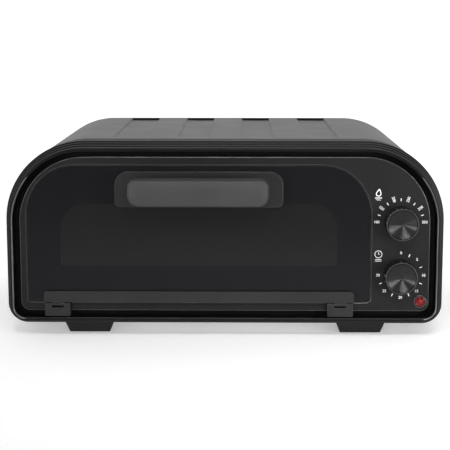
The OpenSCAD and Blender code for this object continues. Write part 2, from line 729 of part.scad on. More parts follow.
front_frame();
control_panel();
front_plate();
outer_casing();
base_plate();
rear_panel();
foot_front_left();
foot_front_right();
foot_rear_left();
foot_rear_right();
foot_screws();
base_screws();
rear_screws();
panel_screws();
rear_spacer_left();
rear_spacer_right();
cord_gland();
terminal_block();
wiring();
door_glass();
door_rail();
door_bumpers();
handle_plate();
handle_grip();
handle_screws();
hinge_bracket_left();
hinge_bracket_right();
hinge_pin_left();
hinge_pin_right();
hinge_screws();
temperature_knob();
temperature_knob_cap();
temperature_shaft();
thermostat();
timer_knob();
timer_knob_cap();
timer_shaft();
timer_case();
timer_bell();
lamp_bezel();
lamp_lens();
lamp_body();
oven_compartment();
heat_shield();
rack_guide_left();
rack_guide_right();
wire_rack();
baking_tray();
crumb_tray();
upper_rod_front();
upper_rod_rear();
lower_rod_front();
lower_rod_rear();
rod_insulators();
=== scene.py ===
"""Looks of a low arched toaster oven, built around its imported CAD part."""
import json
import math

import bmesh
import bpy
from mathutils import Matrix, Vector


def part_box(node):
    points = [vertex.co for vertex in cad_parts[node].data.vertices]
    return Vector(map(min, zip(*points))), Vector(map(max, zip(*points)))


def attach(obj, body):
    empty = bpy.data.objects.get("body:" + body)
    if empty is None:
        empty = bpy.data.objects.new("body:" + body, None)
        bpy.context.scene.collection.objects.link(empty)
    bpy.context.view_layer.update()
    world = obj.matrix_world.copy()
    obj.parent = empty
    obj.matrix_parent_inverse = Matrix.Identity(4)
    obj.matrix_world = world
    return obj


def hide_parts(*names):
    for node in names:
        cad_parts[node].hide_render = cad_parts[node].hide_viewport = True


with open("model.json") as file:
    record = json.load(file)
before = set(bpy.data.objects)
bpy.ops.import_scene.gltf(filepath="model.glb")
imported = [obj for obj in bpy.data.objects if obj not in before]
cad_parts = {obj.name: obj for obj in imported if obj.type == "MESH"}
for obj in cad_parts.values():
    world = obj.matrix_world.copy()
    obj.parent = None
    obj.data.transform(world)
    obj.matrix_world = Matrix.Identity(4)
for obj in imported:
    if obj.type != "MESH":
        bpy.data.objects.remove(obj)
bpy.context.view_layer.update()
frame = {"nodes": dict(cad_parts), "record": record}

MM = 0.001
ARC_STEPS = 32


# ------------------------------------------------------------------ camera

def make_camera():
    """Camera at the reference view: a little above the oven, almost square to its front."""
    data = bpy.data.cameras.new("camera")
    data.lens = 103.0
    data.sensor_width = 36.0
    camera = bpy.data.objects.new("camera", data)
    bpy.context.scene.collection.objects.link(camera)
    camera.location = (0.0196, -1.478, 0.3351)
    camera.rotation_euler = (math.radians(80.79), 0, math.radians(0.82))
    bpy.context.scene.camera = camera


make_camera()


# ------------------------------------------------------------------ places, all taken from the frame

FRAME_LOW, FRAME_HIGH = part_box("front_frame")
PANEL_LOW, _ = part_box("control_panel")
CASING_LOW, CASING_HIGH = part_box("outer_casing")
GLASS_LOW, GLASS_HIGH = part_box("door_glass")
GRIP_LOW, GRIP_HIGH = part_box("handle_grip")
HALF_W = FRAME_HIGH.x
LIP_Y = FRAME_LOW.y
BASE_Z = FRAME_LOW.z
TOP_R = 84 * MM
LOW_R = 21 * MM


# ------------------------------------------------------------------ mesh helpers

def new_object(name, bm, smooth_angle=35):
    """Closes a bmesh into an object whose faces are smooth up to smooth_angle."""
    bmesh.ops.recalc_face_normals(bm, faces=bm.faces)
    mesh = bpy.data.meshes.new(name)
    bm.to_mesh(mesh)
    bm.free()
    mesh.polygons.foreach_set("use_smooth", [True] * len(mesh.polygons))
    mesh.set_sharp_from_angle(angle=math.radians(smooth_angle))
    obj = bpy.data.objects.new(name, mesh)
    bpy.context.scene.collection.objects.link(obj)
    return obj


def arc(cx, cz, r, start, end, steps=ARC_STEPS):
    """Points on an arc in X and Z, angles in degrees."""
    angles = [math.radians(start + (end - start) * i / steps) for i in range(steps + 1)]
    return [(cx + r * math.cos(a), cz + r * math.sin(a)) for a in angles]


def arched_loop(x0, x1, z0, z1, upper, lower, steps=ARC_STEPS):
    """Rectangle with rounded corners, from the lower right corner anticlockwise."""
    return (arc(x1 - lower, z0 + lower, lower, -90, 0, steps)
            + arc(x1 - upper, z1 - upper, upper, 0, 90, steps)
            + arc(x0 + upper, z1 - upper, upper, 90, 180, steps)
            + arc(x0 + lower, z0 + lower, lower, 180, 270, steps))


def frame_loop(inset):
    """The oven's front outline, moved inwards."""
    return arched_loop(-HALF_W + inset, HALF_W - inset, BASE_Z + inset, FRAME_HIGH.z - inset,
                       TOP_R - inset, max(LOW_R - inset, 9 * MM))


def loft(bm, loops, closed_ends=False, ring=False):
    """Skins a list of equal loops of 3-D points; ring joins the last loop to the first."""
    rows = [[bm.verts.new(p) for p in loop] for loop in loops]
    pairs = list(zip(rows, rows[1:])) + ([(rows[-1], rows[0])] if ring else [])
    for a, b in pairs:
        n = len(a)
        for i in range(n):
            bm.faces.new((a[i], a[(i + 1) % n], b[(i + 1) % n], b[i]))
    if closed_ends:
        bm.faces.new(rows[0])
        bm.faces.new(rows[-1])
    return rows


# ------------------------------------------------------------------ materials

class Nodes:
    """A small builder for one node material."""

    def __init__(self, name):
        self.material = bpy.data.materials.new(name)
        self.material.use_nodes = True
        self.tree = self.material.node_tree
        self.shader = self.tree.nodes["Principled BSDF"]
        self.coords = self.add("ShaderNodeTexCoord")

    def add(self, kind, **sockets):
        """New node of a kind, with its input sockets set."""
        node = self.tree.nodes.new(kind)
        for key, value in sockets.items():
            node.inputs[key].default_value = value
        return node

    def link(self, a, b):
        self.tree.links.new(a, b)

    def noise(self, scale, detail=3.0, stretch=(1, 1, 1)):
        """Noise in the object's own coordinates, which stretch packs closer along an axis."""
        mapping = self.add("ShaderNodeMapping", Scale=stretch)
        self.link(self.coords.outputs["Object"], mapping.inputs["Vector"])
        node = self.add("ShaderNodeTexNoise", Scale=scale, Detail=detail)
        self.link(mapping.outputs[0], node.inputs["Vector"])
        return node.outputs["Fac"]

    def ramp(self, value, low, high, start=0.3, end=0.7):
        """Colour that goes from low to high as value goes from start to end."""
        node = self.add("ShaderNodeValToRGB")
        node.color_ramp.elements[0].position = start
        node.color_ramp.elements[1].position = end
        node.color_ramp.elements[0].color = (*low, 1)
        node.color_ramp.elements[1].color = (*high, 1)
        self.link(value, node.inputs["Fac"])
        return node.outputs["Color"]

    def spread(self, value, low, high):
        """Value from 0 to 1, mapped to low to high."""
        node = self.add("ShaderNodeMapRange", **{"To Min": low, "To Max": high})
        self.link(value, node.inputs["Value"])
        return node.outputs[0]

    def bump(self, height, strength, distance):
        """Height that tilts the shader's normal."""
        node = self.add("ShaderNodeBump", Strength=strength, Distance=distance)
        self.link(height, node.inputs["Height"])
        self.link(node.outputs[0], self.shader.inputs["Normal"])


# how often a surface's colour and roughness drift from place to place
BROAD_SCALE = 18.0


def surface(name, color, rough, metal=0.0, grain=900.0, vary=0.12, bump=0.15, depth=0.05 * MM,
            rough_vary=0.05, stretch=(1, 1, 1), coat=0.0, specular=0.5):
    """General surface: fine grain in the bump, broad variation in colour and roughness."""
    n = Nodes(name)
    fine = n.noise(grain, 4.0, stretch)
    broad = n.noise(BROAD_SCALE)
    low = tuple(c * (1 - vary) for c in color)
    high = tuple(min(1.0, c * (1 + vary)) for c in color)
    n.link(n.ramp(broad, low, high), n.shader.inputs["Base Color"])
    n.link(n.spread(broad, rough - rough_vary, rough + rough_vary), n.shader.inputs["Roughness"])
    n.shader.inputs["Metallic"].default_value = metal
    n.shader.inputs["Coat Weight"].default_value = coat
    n.shader.inputs["Specular IOR Level"].default_value = specular
    n.bump(fine, bump, depth)
    return n.material


def grey(value, blue=1.0):
    """Grey of one value; blue above 1 makes it cooler."""
    return (value, value, value * blue)


# the window's distances inside the glass, and the radius of its upper corners
WINDOW_SILL = 36.5 * MM
WINDOW_HEAD = 40 * MM
WINDOW_SIDE = 35.5 * MM
WINDOW_R = 26 * MM


def glass_material():
    """Tempered glass with a black printed border round a slightly lighter window."""
    n = Nodes("door_glass")
    split = n.add("ShaderNodeSeparateXYZ")
    n.link(n.coords.outputs["Object"], split.inputs[0])

    def math_node(operation, a, b=None):
        node = n.add("ShaderNodeMath")
        node.operation = operation
        for i, v in enumerate(v for v in (a, b) if v is not None):
            if isinstance(v, (int, float)):
                node.inputs[i].default_value = v
            else:
                n.link(v, node.inputs[i])
        return node.outputs[0]

    low_z = GLASS_LOW.z + WINDOW_SILL
    high_z = GLASS_HIGH.z - WINDOW_HEAD
    mid_x = (GLASS_LOW.x + GLASS_HIGH.x) / 2
    half_w = (GLASS_HIGH.x - GLASS_LOW.x) / 2 - WINDOW_SIDE
    off_x = math_node("ABSOLUTE", math_node("SUBTRACT", split.outputs["X"], mid_x))
    dx = math_node("MAXIMUM", math_node("SUBTRACT", off_x, half_w - WINDOW_R), 0.0)
    dz = math_node("MAXIMUM", math_node("SUBTRACT", split.outputs["Z"], high_z - WINDOW_R), 0.0)
    squares = math_node("ADD", math_node("MULTIPLY", dx, dx), math_node("MULTIPLY", dz, dz))
    arch = math_node("SUBTRACT", math_node("SQRT", squares), WINDOW_R)
    sill = math_node("SUBTRACT", low_z, split.outputs["Z"])
    outside = math_node("MAXIMUM", arch, sill)
    inside = n.add("ShaderNodeMapRange", **{"From Min": -1.0 * MM, "From Max": 1.0 * MM,
                                            "To Min": 1.0, "To Max": 0.0})
    n.link(outside, inside.inputs["Value"])
    n.link(n.ramp(inside.outputs[0], (0.007, 0.007, 0.0085), (0.009, 0.009, 0.009), 0.0, 1.0),
           n.shader.inputs["Base Color"])
    n.link(n.spread(inside.outputs[0], 0.0, 0.2), n.shader.inputs["Transmission Weight"])
    n.link(n.spread(n.noise(40.0), 0.07, 0.12), n.shader.inputs["Roughness"])
    n.shader.inputs["IOR"].default_value = 1.5
    n.shader.inputs["Specular IOR Level"].default_value = 0.12
    return n.material


def spun_metal():
    """Dark metal of a cap turned on a lathe: its real grooves fan the highlights out."""
    n = Nodes("knob_metal")
    n.shader.inputs["Metallic"].default_value = 1.0
    patches = n.noise(60.0)
    n.link(n.ramp(patches, (0.033, 0.033, 0.0335), (0.045, 0.045, 0.046)),
           n.shader.inputs["Base Color"])
    n.link(n.spread(n.noise(300.0), 0.12, 0.17), n.shader.inputs["Roughness"])
    return n.material


def red_jewel(name, low, high, glow):
    """Red plastic with a faint glow of its own."""
    n = Nodes(name)
    n.link(n.ramp(n.noise(500.0), low, high), n.shader.inputs["Base Color"])
    n.shader.inputs["Roughness"].default_value = 0.12
    n.shader.inputs["Specular IOR Level"].default_value = 0.3
    n.shader.inputs["Emission Color"].default_value = (0.8, 0.01, 0.015, 1)
    n.shader.inputs["Emission Strength"].default_value = glow
    return n.material


MATERIALS = {
    "frame_black": surface("frame_black", grey(0.005), 0.36, grain=2200, bump=0.07, specular=0.12),
    "panel_black": surface("panel_black", grey(0.008), 0.5, grain=2600, bump=0.2, specular=0.17),
    "casing_paint": surface("casing_paint", grey(0.018), 0.46, grain=1600, bump=0.3,
                            depth=0.08 * MM, specular=0.3),
    "foot_plastic": surface("foot_plastic", grey(0.008), 0.65, grain=1500, bump=0.35, specular=0.3),
    "plated_steel": surface("plated_steel", grey(0.5, 1.03), 0.38, 1.0, 300, stretch=(1, 1, 12)),
    "screw_steel": surface("screw_steel", grey(0.55), 0.3, 1.0, 700),
    "gland_rubber": surface("gland_rubber", grey(0.012), 0.7, grain=1200, bump=0.3),
    "ceramic": surface("ceramic", (0.72, 0.68, 0.6), 0.6, grain=700, bump=0.3),
    "wire_red": surface("wire_red", (0.42, 0.03, 0.02), 0.5, grain=1500),
    "door_glass": glass_material(),
    "rail_grey": surface("rail_grey", grey(0.017), 0.45, grain=2000, bump=0.2, specular=0.22),
    "handle_dark": surface("handle_dark", grey(0.013), 0.42, grain=2400, bump=0.2, specular=0.25),
    "grip_grey": surface("grip_grey", grey(0.04), 0.42, grain=2400, bump=0.2, specular=0.2),
    "knob_black": surface("knob_black", grey(0.005), 0.25, grain=2200, bump=0.12),
    "knob_metal": spun_metal(),
    "case_steel": surface("case_steel", grey(0.45), 0.35, 1.0, 260, stretch=(1, 9, 1)),
    "lamp_metal": surface("lamp_metal", grey(0.09), 0.3, 1.0, 900, bump=0.05),
    "lamp_red": red_jewel("lamp_red", (0.06, 0.0003, 0.0006), (0.1, 0.0005, 0.001), 0.01),
    "lamp_white": surface("lamp_white", (0.66, 0.62, 0.54), 0.45, grain=900),
    "oven_steel": surface("oven_steel", grey(0.42), 0.36, 1.0, 240, stretch=(1, 10, 1)),
    "rack_chrome": surface("rack_chrome", grey(0.65), 0.18, 1.0, 900, bump=0.06),
    "tray_enamel": surface("tray_enamel", grey(0.03, 1.1), 0.25, grain=600, vary=0.4, bump=0.25, coat=0.5),
    "crumb_steel": surface("crumb_steel", grey(0.5), 0.35, 1.0, 260, stretch=(10, 1, 1)),
    "rod_steel": surface("rod_steel", (0.22, 0.19, 0.16), 0.5, 0.9, 500, vary=0.3, bump=0.3),
}
# lighter, glossier copies of some nodes' finishes for their bevelled edges: painted highlights; the
# glass's is also its lighter ground edge
PAINTED_EDGE_HIGHLIGHTS = {
    "door_glass": surface("glass_ground_edge_and_painted_highlight", grey(0.03), 0.3, grain=1800, specular=0.5),
    "control_panel": surface("panel_painted_edge_highlight", grey(0.17), 0.3, 0.6, grain=2000, bump=0.04, specular=1.0),
    "handle_plate": surface("handle_painted_edge_highlight", grey(0.035), 0.25, grain=2000, bump=0.1, specular=0.8),
    "door_rail": surface("rail_painted_edge_highlight", grey(0.045), 0.3, grain=2000, bump=0.1, specular=0.6),
}
for bracket in ("hinge_bracket_left", "hinge_bracket_right"):
    PAINTED_EDGE_HIGHLIGHTS[bracket] = PAINTED_EDGE_HIGHLIGHTS["door_rail"]
# lighter metallic copy of the frame's black for the lip's rounding: a painted highlight
LIP_PAINTED_HIGHLIGHT = surface("lip_painted_highlight", grey(0.13), 0.3, 0.7, grain=2000, bump=0.04, specular=1.0)
# darker, duller copy of the frame's black for the recess wall behind the lip: painted shade
RECESS_PAINTED_SHADE = surface("recess_painted_shade", grey(0.003), 0.5, grain=1500, specular=0.08)
LAMP_GLOW = red_jewel("lamp_glow", (0.1, 0.0005, 0.001), (0.16, 0.001, 0.002), 0.06)
DIAL_INK = surface("dial_ink", grey(0.85), 0.5, grain=2500, vary=0.05, bump=0.08)
# lighter copy of the knob's black for its front rim: a painted highlight
KNOB_RIM_PAINTED_HIGHLIGHT = surface("knob_rim_painted_highlight", grey(0.035), 0.3, grain=2000, bump=0.08, specular=0.6)


def paint(obj, slot):
    """Gives an object the finish of one of the record's material slots."""
    obj.data.materials.clear()
    obj.data.materials.append(MATERIALS[slot])


# ------------------------------------------------------------------ carried-over CAD nodes

# edge radius in millimetres; other nodes get the default, and 0 leaves a node's edges as they are
EDGE_RADIUS = {"control_panel": 0.45, "handle_plate": 0.9, "door_rail": 0.5, "door_glass": 0.5,
               "hinge_bracket_left": 0.3, "hinge_bracket_right": 0.3, "base_plate": 0.0,
               "rear_panel": 0.15, "foot_front_left": 1.2, "foot_front_right": 1.2,
               "foot_rear_left": 1.2, "foot_rear_right": 1.2, "wire_rack": 0.0, "wiring": 0.0,
               "oven_compartment": 0.0, "front_plate": 0.0}
DEFAULT_RADIUS = 0.2
# degrees: faces closer than the first are made one, and edges sharper than the second are rounded
FLAT_ANGLE = 0.5
SHARP_ANGLE = 40


def finish_cad_nodes():
    """Gives every CAD node its material and a small radius on its edges."""
    for entry in frame["record"]["subparts"]:
        obj = frame["nodes"][entry["node"]]
        paint(obj, entry["material_slot"])
        radius = EDGE_RADIUS.get(entry["node"], DEFAULT_RADIUS)
        if radius == 0.0:
            continue
        weld = obj.modifiers.new("weld", "WELD")
        weld.merge_threshold = 0.01 * MM
        plain = obj.modifiers.new("plain_faces", "DECIMATE")
        plain.decimate_type = "DISSOLVE"
        plain.angle_limit = math.radians(FLAT_ANGLE)
        bevel = obj.modifiers.new("edges", "BEVEL")
        bevel.width = radius * MM
        bevel.segments = 3
        bevel.limit_method = "ANGLE"
        bevel.angle_limit = math.radians(SHARP_ANGLE)
        # the narrow strips beside the panel's holes would cut its whole radius down to nothing
        bevel.use_clamp_overlap = entry["node"] != "control_panel"
        bevel.harden_normals = True
        # these nodes' bevel faces take the lighter copy: a painted highlight along each edge
        if entry["node"] in PAINTED_EDGE_HIGHLIGHTS:
            obj.data.materials.append(PAINTED_EDGE_HIGHLIGHTS[entry["node"]])
            bevel.material = 1


finish_cad_nodes()


# ------------------------------------------------------------------ front frame

# the frame's section, in millimetres inside its outline and behind its lip
RIM_STEPS = 3
RIM_RISE = 1.85
RIM_DEPTH = 6.1
LIP_INSET = 9.3
LIP_ROUND = 1.4
LIP_STEPS = 8
WEB_INSET = 20.6
WEB_FRONT = 15.99
WEB_BACK = 17.99
SKIRT_INSET = 4.2
# rounded corners of a rim step and of the lip: how far in and how far back each point lies
STEP_CORNER = ((0.0, 0.7), (0.25, 0.2), (0.8, 0.0), (1.3, -0.05), (1.6, -0.3))
LIP_CORNER = ((0.0, 1.6), (0.12, 0.9), (0.45, 0.4), (0.9, 0.12), (1.5, 0.0))
# how far in from the oven's sides the lip's rounding is painted lighter: a painted highlight
PAINTED_HIGHLIGHT_SIDE = 25 * MM


def frame_profile():
    """Section of the frame, and the index of the lip rounding's first point."""
    depth = (FRAME_HIGH.y - FRAME_LOW.y) / MM
    profile = [(WEB_INSET, WEB_FRONT), (WEB_INSET, WEB_BACK), (SKIRT_INSET, WEB_BACK)]
    profile += [(SKIRT_INSET, depth), (0.0, depth)]
    for i in range(RIM_STEPS, 0, -1):
        outer = (RIM_STEPS - i) * RIM_RISE
        front = i * RIM_DEPTH
        profile += [(outer + further_in, front + further_back)
                    for further_in, further_back in STEP_CORNER]
    lip = RIM_STEPS * RIM_RISE
    profile += [(lip + further_in, further_back) for further_in, further_back in LIP_CORNER]
    rounding = len(profile)
    for i in range(LIP_STEPS + 1):
        a = math.pi / 2 * i / LIP_STEPS
        profile.append((LIP_INSET - LIP_ROUND * (1 - math.sin(a)), LIP_ROUND * (1 - math.cos(a))))
    profile += [(LIP_INSET, 2.0), (LIP_INSET, WEB_FRONT)]
    return profile, rounding


def front_frame():
    """Ribbed rim, rounded lip and inner wall, swept round the front outline, with painted shade on the
    inner wall and a painted highlight on the lip's rounding at the sides and bottom.
    """
    profile, rounding = frame_profile()
    bm = bmesh.new()
    loft(bm, [[(x, LIP_Y + y * MM, z) for x, z in frame_loop(inset * MM)] for inset, y in profile],
         ring=True)
    obj = new_object("front_frame_moulding", bm, 50)
    paint(obj, "frame_black")
    obj.data.materials.append(RECESS_PAINTED_SHADE)
    obj.data.materials.append(LIP_PAINTED_HIGHLIGHT)
    around = len(frame_loop(0))
    for face in obj.data.polygons:
        segment = face.index // around
        # inner wall behind the lip rounding: painted shade
        if segment > rounding + LIP_STEPS:
            face.material_index = 1
        # lip rounding at the sides, and its lower half at the bottom: painted highlight; at the top it
        # stays dark
        elif segment >= rounding and abs(face.center.x) > HALF_W - PAINTED_HIGHLIGHT_SIDE:
            face.material_index = 2
        elif segment >= rounding + LIP_STEPS / 2 and face.center.z < BASE_Z + LOW_R:
            face.material_index = 2
    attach(obj, "oven")
    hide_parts("front_frame")


front_frame()


# ------------------------------------------------------------------ outer casing

CHANNELS = 4
CHANNEL_W = 36 * MM
CHANNEL_PITCH = 70 * MM
CHANNEL_DEPTH = 2.5 * MM
CHANNEL_FRONT = 67 * MM
CHANNEL_REAR = CASING_HIGH.y - LIP_Y - 5 * MM
FLARE = 2 * MM
SHEET = 0.7 * MM
FLANGE_X = 190 * MM
FLANGE_T = 0.55 * MM
FLANGE_INSET = 13 * MM


def smooth_step(t):
    """Eases t from 0 to 1, and holds it there."""
    t = min(max(t, 0.0), 1.0)
    return t * t * (3 - 2 * t)


def channel_fall(x):
    """Share of the full depth at x across the four pressed channels."""
    middles = [(i - (CHANNELS - 1) / 2) * CHANNEL_PITCH for i in range(CHANNELS)]
    off = min(abs(x - m) for m in middles)
    return smooth_step((CHANNEL_W / 2 - off) / FLARE)


def casing_columns():
    """Points of the casing's section from the right flange over the top to the left flange."""
    inset = CASING_LOW.x - FRAME_LOW.x
    loop = frame_loop(inset)
    flat = TOP_R - inset
    x_edge = HALF_W - inset - flat
    tops = {-x_edge, x_edge}
    for i in range(CHANNELS):
        middle = (i - (CHANNELS - 1) / 2) * CHANNEL_PITCH
        for side in (-1, 1):
            edge = middle + side * CHANNEL_W / 2
            tops.update(edge - side * FLARE * k / 8 for k in range(-1, 10))
        tops.update(middle + CHANNEL_W * k / 8 for k in (-2, -1, 0, 1, 2))
    tops = sorted((x for x in tops if abs(x) <= x_edge), reverse=True)
    quarter = ARC_STEPS + 1
    top_z = FRAME_HIGH.z - inset
    return ([(FLANGE_X, BASE_Z + inset)] + loop[:2 * quarter - 1] + [(x, top_z) for x in tops]
            + loop[2 * quarter + 1:] + [(-FLANGE_X, BASE_Z + inset)])


def outer_casing():
    """Folded sheet with four soft-edged channels, each ending in an air slot."""
    columns = casing_columns()
    top_z = FRAME_HIGH.z - (CASING_LOW.x - FRAME_LOW.x)
    front = CASING_LOW.y - LIP_Y
    rear = CASING_HIGH.y - LIP_Y
    rows = [(front, 0.0), (CHANNEL_FRONT - 6 * MM, 0.0)]
    rows += [(CHANNEL_FRONT + 2.0 * MM * k / 7, smooth_step(k / 7)) for k in range(8)]
    rows += [(CHANNEL_FRONT + (CHANNEL_REAR - CHANNEL_FRONT) * k / 8, 1.0) for k in range(1, 8)]
    slot_low = len(rows) + 1
    rows += [(CHANNEL_REAR - 0.8 * MM, 1.0), (CHANNEL_REAR - 0.5 * MM, 0.82),
             (CHANNEL_REAR - 0.2 * MM, 0.18), (CHANNEL_REAR, 0.0)]
    rows += [(rear - 0.6 * MM, 0.0), (rear, 0.0)]
    bm = bmesh.new()
    grid = []
    for y, share in rows:
        line = []
        for x, z in columns:
            fall = CHANNEL_DEPTH * channel_fall(x) * share if z >= top_z - 1e-6 else 0.0
            line.append(bm.verts.new((x, LIP_Y + y, z - fall)))
        grid.append(line)
    for r in range(len(rows) - 1):
        for c in range(len(columns) - 1):
            xa, xb = columns[c][0], columns[c + 1][0]
            on_top = columns[c][1] >= top_z - 1e-6 and columns[c + 1][1] >= top_z - 1e-6
            open_slot = (r == slot_low and on_top and channel_fall(xa) > 0.99
                         and channel_fall(xb) > 0.99)
            if not open_slot:
                bm.faces.new((grid[r][c], grid[r][c + 1], grid[r + 1][c + 1], grid[r + 1][c]))
    obj = new_object("outer_casing_sheet", bm, 40)
    solid = obj.modifiers.new("sheet", "SOLIDIFY")
    solid.thickness = SHEET
    solid.offset = -1.0
    paint(obj, "casing_paint")
    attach(obj, "oven")
    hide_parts("outer_casing")


def casing_flange():
    """Turned-in edge at the rear that takes the rear panel's screws."""
    bm = bmesh.new()
    inner = CASING_LOW.x - FRAME_LOW.x + SHEET
    front = CASING_HIGH.y - 1.2 * MM
    back = front + FLANGE_T
    profile = [(inner, front), (inner, back), (FLANGE_INSET, back), (FLANGE_INSET, front)]
    loft(bm, [[(x, y, z) for x, z in frame_loop(inset)] for inset, y in profile], ring=True)
    flange = new_object("outer_casing_flange", bm, 30)
    paint(flange, "casing_paint")
    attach(flange, "oven")


outer_casing()
casing_flange()


# ------------------------------------------------------------------ handle grip

GRIP_CROWN = 1.6 * MM
GRIP_RIM = 3 * MM
GRIP_UPPER_R = 7.5 * MM
GRIP_LOWER_R = 11 * MM
GRIP_RIM_STEPS = 8
CROWN_STEPS = 10


def grip_loop(y, inset):
    """The grip's outline at y, moved inwards."""
    shrink = inset * 0.8
    return [(x, y, z) for x, z in arched_loop(
        GRIP_LOW.x + inset, GRIP_HIGH.x - inset, GRIP_LOW.z + inset, GRIP_HIGH.z - inset,
        GRIP_UPPER_R - shrink, GRIP_LOWER_R - shrink, 12)]


def handle_grip():
    """Grip bar with a crowned face and well-rounded rims."""
    back = GRIP_HIGH.y
    shoulder = GRIP_LOW.y + GRIP_CROWN
    straight = back - shoulder - GRIP_RIM
    rows = [grip_loop(back - straight * t, 0.0) for t in (0.0, 0.05, 1.0)]
    for i in range(1, GRIP_RIM_STEPS + 1):
        a = math.pi / 2 * i / GRIP_RIM_STEPS
        rows.append(grip_loop(shoulder + GRIP_RIM * (1 - math.sin(a)), GRIP_RIM * (1 - math.cos(a))))

    # crowned face: loops that shrink to the middle line and rise to the front
    mid_x = (GRIP_LOW.x + GRIP_HIGH.x) / 2
    mid_z = (GRIP_LOW.z + GRIP_HIGH.z) / 2
    half = (GRIP_HIGH.z - GRIP_LOW.z) / 2 - GRIP_RIM
    outer = rows[-1]
    for k in range(1, CROWN_STEPS):
        t = k / CROWN_STEPS
        y = GRIP_LOW.y + GRIP_CROWN * (1 - t) ** 2
        loop = []
        for x, _, z in outer:
            pull = math.copysign(min(abs(x - mid_x), half) * t, x - mid_x)
            loop.append((x - pull, y, mid_z + (z - mid_z) * (1 - t)))
        rows.append(loop)
    bm = bmesh.new()
    loft(bm, rows, closed_ends=True)
    obj = new_object("handle_grip_crowned", bm, 50)
    paint(obj, "grip_grey")
    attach(obj, "door")
    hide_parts("handle_grip")


handle_grip()


# ------------------------------------------------------------------ dial marks

INK_T = 0.12 * MM
INK_SPREAD = 0.03 * MM


def ink_piece(name, bm):
    """Printed marks of one bmesh, as one piece."""
    obj = new_object(name, bm, 30)
    obj.data.materials.append(DIAL_INK)
    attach(obj, "oven")


def dial_centre(node):
    """X and Z of a node's middle."""
    low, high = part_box(node)
    return (low.x + high.x) / 2, (low.z + high.z) / 2


def label(name, words, x, z, turn, size):
    """Generic number printed on the panel's face."""
    curve = bpy.data.curves.new(name, "FONT")
    curve.body = words
    curve.size = size
    curve.align_x = "CENTER"
    curve.align_y = "CENTER"
    curve.extrude = INK_T
    curve.offset = INK_SPREAD
    curve.resolution_u = 4
    obj = bpy.data.objects.new(name, curve)
    bpy.context.scene.collection.objects.link(obj)
    obj.location = (x, PANEL_LOW.y - INK_T / 2, z)
    obj.rotation_euler = (math.radians(90), math.radians(turn), 0)
    bpy.context.view_layer.update()
    mesh = bpy.data.meshes.new_from_object(obj.evaluated_get(bpy.context.evaluated_depsgraph_get()))
    mesh.transform(obj.matrix_world)
    bpy.data.objects.remove(obj)
    solid = bpy.data.objects.new(name, mesh)
    bpy.context.scene.collection.objects.link(solid)
    solid.data.materials.clear()
    solid.data.materials.append(DIAL_INK)
    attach(solid, "oven")


def tick(bm, cx, cz, angle, r0, r1, width):
    """Short printed stroke pointing at the dial's centre."""
    a = math.radians(angle)
    along = Vector((math.cos(a), 0, math.sin(a)))
    side = Vector((-math.sin(a), 0, math.cos(a))) * width / 2
    y0 = PANEL_LOW.y - INK_T
    corners = [along * r0 - side, along * r1 - side, along * r1 + side, along * r0 + side]
    front = [bm.verts.new((cx + c.x, y0, cz + c.z)) for c in corners]
    back = [bm.verts.new((cx + c.x, PANEL_LOW.y + INK_T, cz + c.z)) for c in corners]
    bm.faces.new(front)
    bm.faces.new(list(reversed(back)))
    for i in range(4):
        bm.faces.new((front[i], front[(i + 1) % 4], back[(i + 1) % 4], back[i]))


def upright(_angle):
    """Turn of a number that stands upright, wherever it is on its scale."""
    return 0


def leaning(angle):
    """Turn of a number that leans out with its scale, and never stands on its head."""
    return 180 - angle if angle > 90 else -angle


def dial_scale(kind, x, z, numbers, start, step, number_r, size, ticks, width, turn):
    """Numbers clockwise from the start angle, and a stroke between each two; sizes in millimetres."""
    for i, number in enumerate(numbers):
        angle = start - step * i
        a = math.radians(angle)
        label(f"{kind}_{number}", str(number), x + number_r * MM * math.cos(a),
              z + number_r * MM * math.sin(a), turn(angle), size * MM)
    bm = bmesh.new()
    for i in range(len(numbers) - 1):
        tick(bm, x, z, start - step * (i + 0.5), ticks[0] * MM, ticks[1] * MM, width * MM)
    ink_piece(f"{kind}_ticks", bm)


def dials():
    """Temperature scale over half a turn, timer scale over three quarters of one."""
    x, z = dial_centre("temperature_knob")
    dial_scale("temperature", x, z, range(100, 351, 50), 180, 36, 25, 4.0, (22.1, 25.0), 0.85, leaning)
    x, z = dial_centre("timer_knob")
    # this scale is printed a little off its knob's centre
    dial_scale("timer", x + 1.2 * MM, z - 0.4 * MM, range(0, 31, 5), 90, 45, 23.8, 4.2,
               (21.2, 24.1), 0.8, upright)


dials()


# ------------------------------------------------------------------ icons beside the dials

def stroke(bm, points, width, closed=False):
    """Flat printed line of constant width through points in X and Z."""
    n = len(points)
    sides = []
    for i in range(n):
        before = points[i - 1] if (i > 0 or closed) else points[i]
        after = points[(i + 1) % n] if (i < n - 1 or closed) else points[i]
        run = Vector((after[0] - before[0], after[1] - before[1])).normalized()
        across = Vector((-run.y, run.x)) * width / 2
        p = Vector(points[i])
        sides.append((p - across, p + across))
    rings = []
    for a, b in sides:
        y0, y1 = PANEL_LOW.y - INK_T, PANEL_LOW.y + INK_T
        rings.append([bm.verts.new(v) for v in ((a.x, y0, a.y), (b.x, y0, b.y),
                                                (b.x, y1, b.y), (a.x, y1, a.y))])
    pairs = list(zip(rings, rings[1:])) + ([(rings[-1], rings[0])] if closed else [])
    for p, q in pairs:
        for i in range(4):
            bm.faces.new((p[i], p[(i + 1) % 4], q[(i + 1) % 4], q[i]))
    if not closed:
        bm.faces.new(rings[0])
        bm.faces.new(rings[-1])


THIN = 0.5 * MM
BOLD = 0.9 * MM
ICON_LEFT = 23.5 * MM
FLAME_UP = 31 * MM
CLOCK_UP = 22 * MM


def flat_stroke(bm, x, z, half, width):
    """Level line through x, z."""
    stroke(bm, [(x - half, z), (x + half, z)], width)


